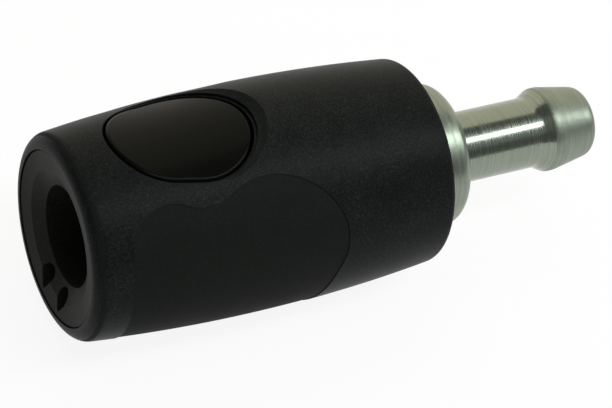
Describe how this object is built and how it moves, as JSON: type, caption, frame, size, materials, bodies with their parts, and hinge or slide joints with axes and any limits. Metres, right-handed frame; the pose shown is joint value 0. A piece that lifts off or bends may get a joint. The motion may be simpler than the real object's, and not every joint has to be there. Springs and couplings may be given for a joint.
{
  "type": "push-button quick disconnect coupling",
  "caption": "Barrel-shaped quick disconnect coupling for air hose: black plastic body with a thumb button and finger grips, vented plug mouth, and a plated steel hose barb.",
  "frame": {"origin": "on the coupling axis, where the straight guide bore of the plug mouth starts, 2.25 mm behind the body's front rim", "axes": "+X along the coupling axis towards the hose barb, +Z towards the push button, +Y towards the left grip when looking along +X with the button up"},
  "size_m": [0.108, 0.0412, 0.0414],
  "materials": {
    "body_plastic": "fine-textured black moulded plastic with two smoother grip panels",
    "bushing_plastic": "dark grey moulded plastic, slightly lighter than the body",
    "button_plastic": "smooth satin black moulded plastic",
    "zinc_plated_steel": "turned steel, bright zinc plated, fine lathe rings",
    "gate_steel": "hardened steel plate, ground",
    "pin_steel": "ground dowel steel",
    "spring_steel": "drawn spring wire",
    "core_brass": "turned brass",
    "seal_rubber": "black nitrile rubber",
    "backup_ring_plastic": "white low-friction backup ring"
  },
  "bodies": {
    "root": {"outer_body": "body_plastic", "front_bushing": "bushing_plastic", "bushing_snap_ring": "spring_steel", "gate_stop_pin": "pin_steel", "gate_spring_left": "spring_steel", "gate_spring_right": "spring_steel", "core_tube": "core_brass", "core_seal": "seal_rubber", "plug_seal": "seal_rubber", "plug_backup_ring": "backup_ring_plastic", "valve_spring": "spring_steel", "valve_guide": "core_brass", "guide_circlip": "spring_steel", "hose_barb": "zinc_plated_steel", "adapter_seal": "seal_rubber"},
    "button": {"push_button": "button_plastic", "button_pin": "pin_steel", "latch_gate": "gate_steel"},
    "valve": {"valve_nose": "core_brass", "valve_seal": "seal_rubber", "valve_stem": "core_brass"}
  },
  "joints": [
    {"name": "button_press", "type": "slide", "parent": "root", "child": "button", "axis": [0, 0, -1], "range_m": [0, 0.003], "stiffness_N_per_m": 1500, "springref_m": -0.004, "deforming": ["gate_spring_left", "gate_spring_right"]},
    {"name": "valve_lift", "type": "slide", "parent": "root", "child": "valve", "axis": [1, 0, 0], "range_m": [0, 0.006], "stiffness_N_per_m": 900, "springref_m": -0.006, "deforming": ["valve_spring"]}
  ]
}
